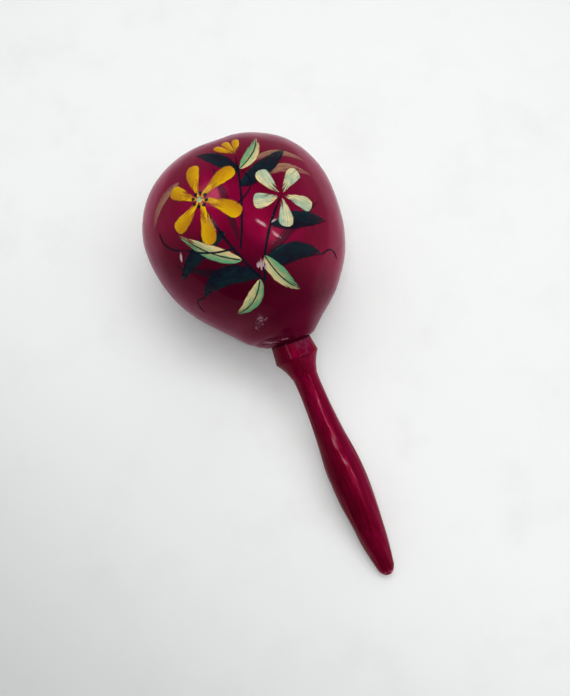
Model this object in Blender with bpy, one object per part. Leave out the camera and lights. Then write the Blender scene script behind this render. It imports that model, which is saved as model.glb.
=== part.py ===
"""Gourd maraca lying on its side: a hollow dried gourd, a turned handle glued into it, loose seeds.

Metres, +Z up. The shell, the handle and the glue are turned about one X axis, with the joint between
the shell and the handle at x = 0, the gourd towards -X and the handle towards +X. An empty tilts that
axis until the gourd's belly and the handle's tip both lie on z = 0.
"""

import math

import bmesh
import bpy
from mathutils import Matrix, Vector
from mathutils.bvhtree import BVHTree

# Gourd shell, measured along its axis from the seat on the handle's collar.
GOURD_LENGTH = 0.1045
GOURD_DIAMETER = 0.0963
EQUATOR_FROM_SEAT = 0.0617
SHELL_WALL = 0.0030
SHOULDER_SQUARENESS = 2.2       # 2 is an ellipse, more is a boxier blossom end
BELLY_REACH = 0.0254            # how far the curve keeps the equator's direction
NECK_REACH = 0.0300             # how far the curve keeps the neck's direction
NECK_SLOPE = math.radians(50.0)  # the neck cone's fall towards the axis
NECK_LIP_ROUND = 0.0035
NECK_LIP_MARGIN = 0.0003        # seat face showing outside the collar's corners
NECK_SWAY = 0.0016              # the gourd leans to +Y between its neck and its equator
NECK_SWAY_FROM_SEAT = 0.0155    # where it leans most
DENT_DEPTH = 0.0018             # shallow furrow across the blossom end
DENT_HALF_WIDTH = 0.0088
DENT_HALF_HEIGHT = 0.0240
DENT_OFFSET = 0.0036
REST_FLAT_DEPTH = 0.0007        # the flat that the gourd lies on, below its round belly

# Handle, measured along its axis from the seat.
HANDLE_LENGTH = 0.1237
COLLAR_FACE_DIAMETER = 0.0194   # across the corners
COLLAR_FLARE_DIAMETER = 0.0216  # across the corners
COLLAR_LENGTH = 0.0078
COLLAR_FACETS = 8
COVE_ENTRY = (0.0040, -0.0036)  # the cove's first direction below the collar
COVE_REACH = 0.0060             # how far the cove keeps the waist's direction
WAIST_FROM_SEAT = 0.0220
WAIST_DIAMETER = 0.0113
SHANK_END_FROM_SEAT = 0.0480
SHANK_END_DIAMETER = 0.0140
GRIP_FROM_SEAT = 0.0698
GRIP_DIAMETER = 0.0180
TAPER_FROM_TIP = 0.0252
TAPER_DIAMETER = 0.0143
TIP_SHOULDER_FROM_TIP = 0.0050
TIP_SHOULDER_DIAMETER = 0.0084
TIP_SHOULDER_SLOPE = -0.20
TIP_END_DIAMETER = 0.0016
TENON_DIAMETER = 0.0120
TENON_LENGTH = 0.0160           # how far the tenon reaches past the seat
TENON_CHAMFER = 0.0010

# Glue and seeds.
GLUE_BEAD_SIZE = 0.0024
SEED_COUNT = 28
SEED_DIAMETER = 0.0064
SEED_THICKNESS = 0.0060
SEED_HILUM_DEPTH = 0.0004
SEED_SPACING = 0.0004           # between neighbouring seeds

TOUCH_GAP = 0.0003              # between pieces that touch
MERGE_DISTANCE = 0.000001

# Fineness of the curves.
GOURD_SEGMENTS = 48
HANDLE_SEGMENTS = 32
BEAD_SEGMENTS = 32
SEED_SEGMENTS = 10
SEED_RINGS = 8
SHOULDER_STEPS = 10
BELLY_STEPS = 13
LIP_STEPS = 4
COLLAR_STEPS = 5
COVE_STEPS = 7
GRIP_STEPS = 5
TIP_STEPS = 5
BEAD_STEPS = 5
SMOOTH_ANGLE = math.radians(35.0)
HALVINGS = 48

TENON_RADIUS = TENON_DIAMETER / 2
HOLE_RADIUS = TENON_RADIUS + TOUCH_GAP
SEAT_RADIUS = COLLAR_FACE_DIAMETER / 2 + NECK_LIP_MARGIN
SEED_REACH = SEED_DIAMETER / 2 + TOUCH_GAP


def bezier(start, start_reach, end_reach, end, steps):
    """Points of a cubic curve, leaving out its first one."""
    start, end = Vector(start), Vector(end)
    first, second = start + Vector(start_reach), end - Vector(end_reach)
    points = []
    for step in range(1, steps + 1):
        t = step / steps
        u = 1 - t
        point = u ** 3 * start + 3 * u * u * t * first + 3 * u * t * t * second + t ** 3 * end
        points.append(tuple(point))
    return points


def smooth_curve(stations, first_slope, last_slope, steps):
    """Points of a smooth curve through (x, radius) stations, leaving out the first one."""
    slopes = [first_slope]
    for before, after in zip(stations, stations[2:]):
        slopes.append((after[1] - before[1]) / (after[0] - before[0]))
    slopes.append(last_slope)
    points = []
    for index, (start, end) in enumerate(zip(stations, stations[1:])):
        third = (end[0] - start[0]) / 3
        leave, arrive = [(third, third * slope) for slope in slopes[index:index + 2]]
        points += bezier(start, leave, arrive, end, steps)
    return points


def halve(test, low, high):
    """The place between low and high where a test that holds at low stops holding."""
    for _ in range(HALVINGS):
        middle = (low + high) / 2
        if test(middle):
            low = middle
        else:
            high = middle
    return low


def neck_lip_end(inset):
    """Where the neck's cone meets its rounded lip, moved inwards by an inset."""
    turn = math.pi / 2 - NECK_SLOPE
    x = NECK_LIP_ROUND * (math.cos(turn) - 1) - inset * math.cos(turn)
    radius = SEAT_RADIUS + (NECK_LIP_ROUND - inset) * math.sin(turn)
    return x, radius


def gourd_curve(inset):
    """The gourd's side from its blossom end to the start of the neck's lip, moved inwards by an inset."""
    radius = GOURD_DIAMETER / 2 - inset
    crown = GOURD_LENGTH - EQUATOR_FROM_SEAT - inset
    power = 2 / SHOULDER_SQUARENESS
    points = []
    for step in range(SHOULDER_STEPS + 1):
        angle = math.pi / 2 * step / SHOULDER_STEPS
        along = crown * max(math.cos(angle), 0.0) ** power
        points.append((-EQUATOR_FROM_SEAT - along, radius * math.sin(angle) ** power))
    fall = (NECK_REACH * math.cos(NECK_SLOPE), -NECK_REACH * math.sin(NECK_SLOPE))
    return points + bezier(points[-1], (BELLY_REACH, 0.0), fall, neck_lip_end(inset), BELLY_STEPS)


def gourd_profile():
    """The shell's whole section: outside, lip, seat, neck hole and inside."""
    outside = gourd_curve(0.0)
    turn = math.pi / 2 - NECK_SLOPE
    for step in range(LIP_STEPS - 1, -1, -1):
        angle = turn * step / LIP_STEPS
        x = NECK_LIP_ROUND * (math.cos(angle) - 1)
        outside.append((x, SEAT_RADIUS + NECK_LIP_ROUND * math.sin(angle)))
    inside = gourd_curve(SHELL_WALL)
    hole = [(0.0, HOLE_RADIUS), (inside[-1][0], HOLE_RADIUS)]
    return outside + hole + inside[::-1]


def collar_radius(x):
    """Radius of the collar's flare across its corners."""
    slope = (COLLAR_FLARE_DIAMETER - COLLAR_FACE_DIAMETER) / 2 / (COLLAR_LENGTH - TOUCH_GAP)
    return COLLAR_FACE_DIAMETER / 2 + slope * (x - TOUCH_GAP)


def handle_profile():
    """The handle's whole section: tenon, collar, cove, grip and tip."""
    points = [
        (-TENON_LENGTH, 0.0),
        (-TENON_LENGTH, TENON_RADIUS - TENON_CHAMFER),
        (-TENON_LENGTH + TENON_CHAMFER, TENON_RADIUS),
        (TOUCH_GAP, TENON_RADIUS),
    ]
    for step in range(COLLAR_STEPS + 1):
        x = TOUCH_GAP + (COLLAR_LENGTH - TOUCH_GAP) * step / COLLAR_STEPS
        points.append((x, collar_radius(x)))
    waist = (WAIST_FROM_SEAT, WAIST_DIAMETER / 2)
    points += bezier(points[-1], COVE_ENTRY, (COVE_REACH, 0.0), waist, COVE_STEPS)
    stations = [
        waist,
        (SHANK_END_FROM_SEAT, SHANK_END_DIAMETER / 2),
        (GRIP_FROM_SEAT, GRIP_DIAMETER / 2),
        (HANDLE_LENGTH - TAPER_FROM_TIP, TAPER_DIAMETER / 2),
        (HANDLE_LENGTH - TIP_SHOULDER_FROM_TIP, TIP_SHOULDER_DIAMETER / 2),
    ]
    points += smooth_curve(stations, 0.0, TIP_SHOULDER_SLOPE, GRIP_STEPS)
    half = TIP_SHOULDER_FROM_TIP / 2
    end = (HANDLE_LENGTH, TIP_END_DIAMETER / 2)
    drop = (end[1] - stations[-1][1]) / 3
    points += bezier(stations[-1], (half, half * TIP_SHOULDER_SLOPE), (half / 8, drop), end, TIP_STEPS)
    return points + [(HANDLE_LENGTH, 0.0)]


def bead_profile():
    """The glue's section, a fillet between the tenon and the wall round the neck hole."""
    x = neck_lip_end(SHELL_WALL)[0] - TOUCH_GAP
    points = [(x, HOLE_RADIUS)]
    for step in range(BEAD_STEPS + 1):
        angle = math.pi / 2 * step / BEAD_STEPS
        hollow = 1 - math.sin(angle), 1 - math.cos(angle)
        points.append((x - GLUE_BEAD_SIZE * hollow[1], HOLE_RADIUS + GLUE_BEAD_SIZE * hollow[0]))
    return points


def turn_profile(profile, segments, closed=False):
    """A bmesh turned about the X axis from (x, radius) points."""
    shape = bmesh.new()
    corners = [shape.verts.new((x, 0.0, -radius)) for x, radius in profile]
    pairs = list(zip(corners, corners[1:]))
    if closed:
        pairs.append((corners[-1], corners[0]))
    edges = [shape.edges.new(pair) for pair in pairs]
    bmesh.ops.spin(
        shape,
        geom=corners + edges,
        cent=(0, 0, 0),
        axis=(1, 0, 0),
        angle=2 * math.pi,
        steps=segments,
        use_merge=True,
    )
    bmesh.ops.remove_doubles(shape, verts=shape.verts, dist=MERGE_DISTANCE)
    bmesh.ops.recalc_face_normals(shape, faces=shape.faces)
    return shape


def gourd_lean(x):
    """How far the gourd leans to +Y at a place on its axis: nothing at the neck hole and the equator."""
    hole_end = -neck_lip_end(SHELL_WALL)[0]
    from_seat = min(max(-x, hole_end), EQUATOR_FROM_SEAT)
    if from_seat < NECK_SWAY_FROM_SEAT:
        share = (from_seat - hole_end) / (NECK_SWAY_FROM_SEAT - hole_end)
    else:
        share = (EQUATOR_FROM_SEAT - from_seat) / (EQUATOR_FROM_SEAT - NECK_SWAY_FROM_SEAT)
    return NECK_SWAY * math.sin(math.pi / 2 * share) ** 2


def grow_gourd(shape):
    """Give the turned shell the gourd's lean near the neck and the dent across its blossom end."""
    for vertex in shape.verts:
        x, y, z = vertex.co
        across = ((y - DENT_OFFSET) / DENT_HALF_WIDTH) ** 2 + (z / DENT_HALF_HEIGHT) ** 2
        dent = DENT_DEPTH * math.exp(-across) if x < -EQUATOR_FROM_SEAT else 0.0
        vertex.co = (x + dent, y + gourd_lean(x), z)


def cut_facets(shape):
    """Pull the collar onto its flats, where the turned flare stands outside them."""
    half_facet = math.pi / COLLAR_FACETS
    for vertex in shape.verts:
        x, y, z = vertex.co
        radius = math.hypot(y, z)
        if not TOUCH_GAP / 2 < x < WAIST_FROM_SEAT or radius < TENON_RADIUS / 2:
            continue
        off_middle = (math.atan2(y, z) % (2 * half_facet)) - half_facet
        flat = collar_radius(x) * math.cos(half_facet) / math.cos(off_middle)
        if radius > flat:
            vertex.co = (x, y * flat / radius, z * flat / radius)


def seed_shape():
    """A round seed, a little flat, with a pit where its stalk was."""
    shape = bmesh.new()
    radius = SEED_DIAMETER / 2
    bmesh.ops.create_uvsphere(shape, u_segments=SEED_SEGMENTS, v_segments=SEED_RINGS, radius=radius)
    bmesh.ops.scale(shape, vec=(1, 1, SEED_THICKNESS / SEED_DIAMETER), verts=shape.verts)
    crown = max(shape.verts, key=lambda vertex: vertex.co.z)
    crown.co.z -= SEED_HILUM_DEPTH
    return shape


def finish_mesh(name, shape):
    """A mesh made from a bmesh and shaded smooth up to its sharp edges."""
    mesh = bpy.data.meshes.new(name)
    shape.to_mesh(mesh)
    shape.free()
    mesh.shade_smooth()
    mesh.set_sharp_from_angle(angle=SMOOTH_ANGLE)
    return mesh


def make_material(name, colour, roughness, metallic):
    """A plain finish."""
    material = bpy.data.materials.new(name)
    material.use_nodes = True
    shader = material.node_tree.nodes["Principled BSDF"]
    shader.inputs["Base Color"].default_value = (*colour, 1.0)
    shader.inputs["Roughness"].default_value = roughness
    shader.inputs["Metallic"].default_value = metallic
    return material


def add_object(name, mesh, material=None, parent=None):
    """An object in the scene, with its finish and its parent."""
    thing = bpy.data.objects.new(name, mesh)
    if material:
        mesh.materials.clear()
        mesh.materials.append(material)
    thing.parent = parent
    bpy.context.collection.objects.link(thing)
    return thing


def lowest(profile, tilt):
    """Height of a turned profile's lowest point when its axis is tilted, handle down."""
    return min(-x * math.sin(tilt) - radius * math.cos(tilt) for x, radius in profile)


def lying_tilt():
    """The tilt at which the gourd's flat and the handle's tip are level."""
    gourd, handle = gourd_profile(), handle_profile()

    def gourd_lower(tilt):
        return lowest(gourd, tilt) + REST_FLAT_DEPTH < lowest(handle, tilt)

    return halve(gourd_lower, 0.0, math.pi / 4)


def lying_place(meshes, tilt):
    """Where the seat lies, so that the origin is under the middle of the whole object."""
    turn = Matrix.Rotation(tilt, 3, "Y")
    points = [turn @ vertex.co for mesh in meshes for vertex in mesh.vertices]
    middle = [(min(p[axis] for p in points) + max(p[axis] for p in points)) / 2 for axis in range(2)]
    return -middle[0], -middle[1], -lowest(handle_profile(), tilt)


def cut_rest_flat(shell):
    """Cut the gourd flat where it lies on the table."""
    shape = bmesh.new()
    size = 2 * GOURD_LENGTH
    bmesh.ops.create_cube(shape, size=size)
    cutter = add_object("rest_flat_cutter", finish_mesh("rest_flat_cutter", shape))
    cutter.location = (shell.parent.location.x - EQUATOR_FROM_SEAT, 0.0, -size / 2)
    cutter.hide_render = True
    cutter.display_type = "WIRE"
    flat = shell.modifiers.new("rest_flat", "BOOLEAN")
    flat.operation = "DIFFERENCE"
    flat.solver = "EXACT"
    flat.object = cutter


def wall_tree(shell):
    """The finished shell's walls in world space, ready for distance questions."""
    bpy.context.view_layer.update()
    finished = shell.evaluated_get(bpy.context.evaluated_depsgraph_get())
    mesh = finished.to_mesh()
    corners = [shell.matrix_world @ vertex.co for vertex in mesh.vertices]
    faces = [tuple(polygon.vertices) for polygon in mesh.polygons]
    finished.to_mesh_clear()
    return BVHTree.FromPolygons(corners, faces)


def touch_height(walls, x, y, start, end):
    """The height, going from start to end, at which a seed at x, y comes to the wall."""
    def clear(height):
        return walls.find_nearest((x, y, height))[3] > SEED_REACH

    return halve(clear, start, end)


def chamber_floor(tilt):
    """The lowest point inside the gourd, in the turned pieces' own axes."""
    def height(point):
        return -point[0] * math.sin(tilt) - point[1] * math.cos(tilt)

    x, radius = min(gourd_curve(SHELL_WALL), key=height)
    return Vector((x, gourd_lean(x), -radius))


def seed_places(walls, axis):
    """Places of the seeds: one close layer round the lowest point inside the gourd."""
    pitch = SEED_DIAMETER + SEED_SPACING
    rows = math.ceil(math.sqrt(SEED_COUNT))
    middle = axis.matrix_world @ Vector((-EQUATOR_FROM_SEAT, 0.0, 0.0))
    floor = axis.matrix_world @ chamber_floor(axis.rotation_euler.y)
    places = []
    for row in range(-rows, rows + 1):
        for column in range(-rows, rows + 1):
            x = floor.x + pitch * (column + 0.5 * (row % 2))
            y = floor.y + pitch * math.sqrt(3) / 2 * row
            places.append((round(math.hypot(x - floor.x, y - floor.y), 6), x, y))
    nearest = sorted(places)[:SEED_COUNT]
    return [Vector((x, y, touch_height(walls, x, y, middle.z, 0.0))) for _, x, y in nearest]


def add_seeds(walls, axis):
    """Loose seeds inside the gourd, each turned its own way."""
    material = make_material("dried_seed", (0.21, 0.11, 0.05), 0.55, 0.0)
    mesh = finish_mesh("seed", seed_shape())
    golden_turn = math.pi * (3 - math.sqrt(5))
    for index, place in enumerate(seed_places(walls, axis), start=1):
        seed = add_object(f"seed_{index:02d}", mesh, material)
        seed.location = place
        seed.rotation_euler = (index * golden_turn, index * golden_turn / 2, 0.0)


def build():
    """Model the whole maraca."""
    for thing in list(bpy.data.objects):
        bpy.data.objects.remove(thing, do_unlink=True)

    shell_shape = turn_profile(gourd_profile(), GOURD_SEGMENTS)
    grow_gourd(shell_shape)
    handle_shape = turn_profile(handle_profile(), HANDLE_SEGMENTS)
    cut_facets(handle_shape)
    shell_mesh = finish_mesh("gourd_shell", shell_shape)
    handle_mesh = finish_mesh("handle", handle_shape)
    bead_mesh = finish_mesh("glue_bead", turn_profile(bead_profile(), BEAD_SEGMENTS, closed=True))

    tilt = lying_tilt()
    axis = add_object("lying_axis", None)
    axis.rotation_euler = (0.0, tilt, 0.0)
    axis.location = lying_place((shell_mesh, handle_mesh), tilt)

    gourd_lacquer = make_material("gourd_lacquer", (0.21, 0.006, 0.03), 0.2, 0.3)
    handle_lacquer = make_material("handle_lacquer", (0.17, 0.003, 0.02), 0.35, 0.3)
    dried_glue = make_material("dried_glue", (0.45, 0.30, 0.13), 0.4, 0.0)
    shell = add_object("gourd_shell", shell_mesh, gourd_lacquer, axis)
    add_object("handle", handle_mesh, handle_lacquer, axis)
    add_object("glue_bead", bead_mesh, dried_glue, axis)
    cut_rest_flat(shell)
    add_seeds(wall_tree(shell), axis)


build()
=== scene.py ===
"""Looks of the gourd maraca: lacquered shell and handle, a painted flower spray, dried seeds, a studio.

Metres, +Z up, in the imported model's own frame. The turned pieces are shaped about one X axis, with the
seat between the gourd and the handle at x = 0, and then laid down along the handle's axis.
"""

import logging
import math
from dataclasses import dataclass, field
from enum import Enum
from typing import Any

import bmesh
import bpy
import numpy as np
from mathutils import Matrix, Vector, noise
from mathutils.bvhtree import BVHTree


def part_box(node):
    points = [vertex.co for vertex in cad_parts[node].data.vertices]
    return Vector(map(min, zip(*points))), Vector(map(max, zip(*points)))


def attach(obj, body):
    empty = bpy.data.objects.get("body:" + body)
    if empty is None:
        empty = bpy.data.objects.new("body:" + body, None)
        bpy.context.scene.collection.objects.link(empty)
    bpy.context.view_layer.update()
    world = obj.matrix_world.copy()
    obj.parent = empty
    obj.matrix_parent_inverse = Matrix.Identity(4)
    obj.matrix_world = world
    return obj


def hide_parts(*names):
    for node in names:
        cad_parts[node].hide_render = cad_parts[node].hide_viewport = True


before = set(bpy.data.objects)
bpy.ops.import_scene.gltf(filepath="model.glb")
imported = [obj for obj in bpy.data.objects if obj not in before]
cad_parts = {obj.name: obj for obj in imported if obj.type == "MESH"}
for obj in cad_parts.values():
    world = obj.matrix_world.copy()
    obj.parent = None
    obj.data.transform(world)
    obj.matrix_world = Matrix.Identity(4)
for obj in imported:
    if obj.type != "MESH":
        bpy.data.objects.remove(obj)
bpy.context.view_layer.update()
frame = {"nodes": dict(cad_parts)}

LOG = logging.getLogger("maraca")
MAIN_BODY = "maraca"
MM = 0.001
MERGE_DISTANCE = 0.000001
TOUCH_GAP = 0.0003
GOLDEN_TURN = math.pi * (3 - math.sqrt(5))

Point = tuple[float, float]
Colour = tuple[float, float, float]
Stretch = tuple[float, float, float]

BLACK: Colour = (0.0, 0.0, 0.0)
WHITE: Colour = (1.0, 1.0, 1.0)
SHORT_SIDE_RANGE: Point = (-0.3, 1.1)


def bezier(
    start: Point, leave: Point, arrive: Point, end: Point, steps: int, crowding: float = 1.0
) -> list[Point]:
    """Work out points of a cubic curve, leaving out its first one.

    Args:
        start: First point.
        leave: Reach of the curve's first direction.
        arrive: Reach of the curve's last direction.
        end: Last point.
        steps: Number of points.
        crowding: Above 1, the points lie closer together towards the end.

    Returns:
        The points.
    """
    first, last = Vector(start), Vector(end)
    one, two = first + Vector(leave), last - Vector(arrive)
    points = []
    for step in range(1, steps + 1):
        u = (1 - step / steps) ** crowding
        t = 1 - u
        points.append(tuple(u ** 3 * first + 3 * u * u * t * one + 3 * u * t * t * two + t ** 3 * last))
    return points


def smooth_curve(stations: list[Point], first: float, last: float, steps: int) -> list[Point]:
    """Work out points of a smooth curve through stations, leaving out the first one.

    Args:
        stations: Places that the curve passes, in order.
        first: Slope at the first station.
        last: Slope at the last station.
        steps: Number of points between two stations.

    Returns:
        The points.
    """
    inner = [(b[1] - a[1]) / (b[0] - a[0]) for a, b in zip(stations, stations[2:])]
    slopes = [first, *inner, last]
    points = []
    for index, (start, end) in enumerate(zip(stations, stations[1:])):
        third = (end[0] - start[0]) / 3
        leave, arrive = [(third, third * slope) for slope in slopes[index:index + 2]]
        points += bezier(start, leave, arrive, end, steps)
    return points


def turn_profile(shape: bmesh.types.BMesh, profile: list[Point], segments: int) -> None:
    """Turn an open outline about the X axis.

    Args:
        shape: Mesh that takes the turned surface.
        profile: Points as distance along the axis and radius.
        segments: Number of steps round the axis.
    """
    corners = [shape.verts.new((x, 0.0, -radius)) for x, radius in profile]
    edges = [shape.edges.new(pair) for pair in zip(corners, corners[1:])]
    bmesh.ops.spin(
        shape,
        geom=corners + edges,
        cent=(0, 0, 0),
        axis=(1, 0, 0),
        angle=2 * math.pi,
        steps=segments,
        use_merge=True,
    )
    bmesh.ops.remove_doubles(shape, verts=shape.verts, dist=MERGE_DISTANCE)


def hump(distance: float, width: float) -> float:
    """A smooth rise of height 1 that fades with distance."""
    return math.exp(-(distance / width) ** 2)


def ease(value: float, low: float, high: float) -> float:
    """A smooth step from 0 at low to 1 at high."""
    share = min(max((value - low) / (high - low), 0.0), 1.0)
    return share * share * (3 - 2 * share)


def cut_off(shape: bmesh.types.BMesh, point: Stretch, normal: Stretch) -> None:
    """Cut away what lies beyond a plane and close the cut.

    Args:
        shape: Mesh to cut.
        point: A point of the plane.
        normal: Direction of what is cut away.
    """
    everything = shape.verts[:] + shape.edges[:] + shape.faces[:]
    bmesh.ops.bisect_plane(shape, geom=everything, plane_co=point, plane_no=normal, clear_outer=True)
    bmesh.ops.holes_fill(shape, edges=[edge for edge in shape.edges if edge.is_boundary])


def add_object(name: str, shape: bmesh.types.BMesh, material: bpy.types.Material) -> bpy.types.Object:
    """Make an object from a bmesh.

    Args:
        name: Name of the object.
        shape: Mesh in world space, freed here.
        material: Finish of the object.

    Returns:
        The object.
    """
    mesh = bpy.data.meshes.new(name)
    shape.to_mesh(mesh)
    shape.free()
    mesh.materials.append(material)
    thing = bpy.data.objects.new(name, mesh)
    bpy.context.scene.collection.objects.link(thing)
    return thing


def add_piece(
    name: str, shape: bmesh.types.BMesh, material: bpy.types.Material, body: str
) -> bpy.types.Object:
    """Make a smooth piece of the maraca and let it ride on a body.

    Args:
        name: Name of the piece.
        shape: Mesh in world space, freed here.
        material: Finish of the piece.
        body: Body that carries it.

    Returns:
        The piece.
    """
    piece = add_object(name, shape, material)
    piece.data.shade_smooth()
    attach(piece, body)
    LOG.info("%s: %d faces on %s", name, len(piece.data.polygons), body)
    return piece


class Shade:
    """A shader socket that Python's operators combine into Math nodes."""

    def __init__(self, graph: "FinishGraph", socket: bpy.types.NodeSocket) -> None:
        """Keep the socket and the graph it belongs to."""
        self.graph = graph
        self.socket = socket

    def __add__(self, other: Any) -> "Shade":
        """Add."""
        return self.graph.maths("ADD", self, other)

    def __sub__(self, other: Any) -> "Shade":
        """Take away."""
        return self.graph.maths("SUBTRACT", self, other)

    def __rsub__(self, other: Any) -> "Shade":
        """Take this away from a number."""
        return self.graph.maths("SUBTRACT", other, self)

    def __mul__(self, other: Any) -> "Shade":
        """Multiply."""
        return self.graph.maths("MULTIPLY", self, other)

    def __pow__(self, other: Any) -> "Shade":
        """Raise to a power."""
        return self.graph.maths("POWER", self, other)

    def __abs__(self) -> "Shade":
        """Drop the sign."""
        return self.graph.maths("ABSOLUTE", self, 0.0)

    __radd__ = __add__
    __rmul__ = __mul__


class FinishGraph:
    """A node graph that a finish is written in."""

    def __init__(self, tree: bpy.types.NodeTree) -> None:
        """Keep the tree."""
        self.tree = tree

    def node(self, kind: str, settings: dict | None = None, sockets: dict | None = None) -> bpy.types.Node:
        """Add a node.

        Args:
            kind: Blender's type name of the node.
            settings: Properties, set first.
            sockets: Values or links of the input sockets, by name or number.

        Returns:
            The node.
        """
        node = self.tree.nodes.new(kind)
        for name, value in (settings or {}).items():
            setattr(node, name, value)
        for name, value in (sockets or {}).items():
            self.feed(node.inputs[name], value)
        return node

    def feed(self, socket: bpy.types.NodeSocket, value: Any) -> None:
        """Link a shade to a socket, or set the socket's own value."""
        if isinstance(value, Shade):
            self.tree.links.new(value.socket, socket)
        else:
            socket.default_value = value

    def shade(self, node: bpy.types.Node, output: str | int = 0) -> Shade:
        """Wrap one of a node's outputs."""
        return Shade(self, node.outputs[output])

    def maths(self, operation: str, first: Any, second: Any) -> Shade:
        """Combine two values with a Math node."""
        return self.shade(self.node("ShaderNodeMath", {"operation": operation}, {0: first, 1: second}))

    def step(self, value: Shade, low: float, high: float) -> Shade:
        """A smooth step from 0 at low to 1 at high; low may be the larger."""
        sockets = {0: value, 1: low, 2: high}
        settings = {"interpolation_type": "SMOOTHSTEP"}
        return self.shade(self.node("ShaderNodeMapRange", settings, sockets))

    def mix(self, factor: Any, first: Any, second: Any) -> Shade:
        """Mix two colours, which are the node's inputs 6 and 7, into its output 2."""
        colours = [(*colour, 1.0) if isinstance(colour, tuple) else colour for colour in (first, second)]
        sockets = {0: factor, 6: colours[0], 7: colours[1]}
        return self.shade(self.node("ShaderNodeMix", {"data_type": "RGBA"}, sockets), 2)

    def place(self, axis: "LyingAxis | None" = None, stretch: Stretch = (1, 1, 1)) -> Shade:
        """Object coordinates, or coordinates along the maraca's axis, stretched.

        Args:
            axis: The axis that the pattern follows, if any.
            stretch: Scale along each axis of the pattern.

        Returns:
            The coordinates.
        """
        coordinates = self.shade(self.node("ShaderNodeTexCoord"), "Object")
        if axis is not None:
            back = axis.turn.transposed()
            sockets = {"Vector": coordinates, "Location": -(back @ axis.seat), "Rotation": back.to_euler()}
            coordinates = self.shade(self.node("ShaderNodeMapping", None, sockets))
        sockets = {"Vector": coordinates, "Scale": stretch}
        return self.shade(self.node("ShaderNodeMapping", None, sockets))

    def noise(self, place: Shade, size: float, detail: float = 2.0, rough: float = 0.5) -> Shade:
        """Soft noise of a feature size."""
        sockets = {"Vector": place, "Scale": 1 / size, "Detail": detail, "Roughness": rough}
        return self.shade(self.node("ShaderNodeTexNoise", None, sockets))

    def spots(self, place: Shade, size: float) -> Shade:
        """Distance from scattered points about one size apart, as a share of that size."""
        sockets = {"Vector": place, "Scale": 1 / size}
        return self.shade(self.node("ShaderNodeTexVoronoi", None, sockets), "Distance")

    def noted(self, name: str) -> Shade:
        """A number noted on the mesh's vertices."""
        return self.shade(self.node("ShaderNodeAttribute", {"attribute_name": name}), "Fac")

    def bump(self, height: Shade, depth: float, strength: float) -> Shade:
        """A bumped normal from a height."""
        sockets = {"Height": height, "Distance": depth, "Strength": strength}
        return self.shade(self.node("ShaderNodeBump", None, sockets), "Normal")

    def parts(self, vector: Shade) -> tuple[Shade, Shade, Shade]:
        """The three parts of a vector."""
        node = self.node("ShaderNodeSeparateXYZ", None, {0: vector})
        return tuple(self.shade(node, axis) for axis in "XYZ")

    def layout(self, name: str) -> Shade:
        """The coordinates of a UV map."""
        return self.shade(self.node("ShaderNodeUVMap", {"uv_map": name}), "UV")

    def rays(self) -> tuple[Shade, Shade]:
        """Whether a ray comes from the camera, and whether it is mirrored."""
        node = self.node("ShaderNodeLightPath")
        return self.shade(node, "Is Camera Ray"), self.shade(node, "Is Glossy Ray")


class Finish:
    """Base of the finishes: a material with one Principled shader."""

    name: str

    def material(self) -> bpy.types.Material:
        """Make the material.

        Returns:
            The material, with what the finish paints on its shader.
        """
        made = bpy.data.materials.new(self.name)
        made.use_nodes = True
        graph = FinishGraph(made.node_tree)
        shader = made.node_tree.nodes["Principled BSDF"]
        for socket, value in self.paint(graph).items():
            graph.feed(shader.inputs[socket], value)
        return made

    def paint(self, graph: FinishGraph) -> dict[str, Any]:
        """Give the shader's sockets their values or links."""
        raise NotImplementedError


@dataclass(frozen=True)
class LyingAxis:
    """The maraca's own axis as it lies on the table."""

    seat: Vector
    turn: Matrix

    @classmethod
    def of_handle(cls, handle: bpy.types.Object, length: float) -> "LyingAxis":
        """Find the axis from the handle, which is alike all round it.

        Args:
            handle: The handle's node.
            length: How far the tip is from the seat.

        Returns:
            The axis.
        """
        points = np.array([vertex.co for vertex in handle.data.vertices])
        middle = points.mean(axis=0)
        along = np.linalg.eigh(np.cov((points - middle).T))[1][:, -1]
        along *= math.copysign(1.0, along[0])
        seat = middle + along * (((points - middle) @ along).max() - length)
        forward, side = Vector(along), Vector((0, 1, 0))
        return cls(Vector(seat), Matrix((forward, side, forward.cross(side))).transposed())

    def world(self, point: Vector) -> Vector:
        """A point of the turned pieces in the world."""
        return self.seat + self.turn @ point

    def lay_down(self, shape: bmesh.types.BMesh) -> None:
        """Move a turned mesh to where it lies."""
        matrix = Matrix.Translation(self.seat) @ self.turn.to_4x4()
        bmesh.ops.transform(shape, matrix=matrix, verts=shape.verts)


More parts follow.
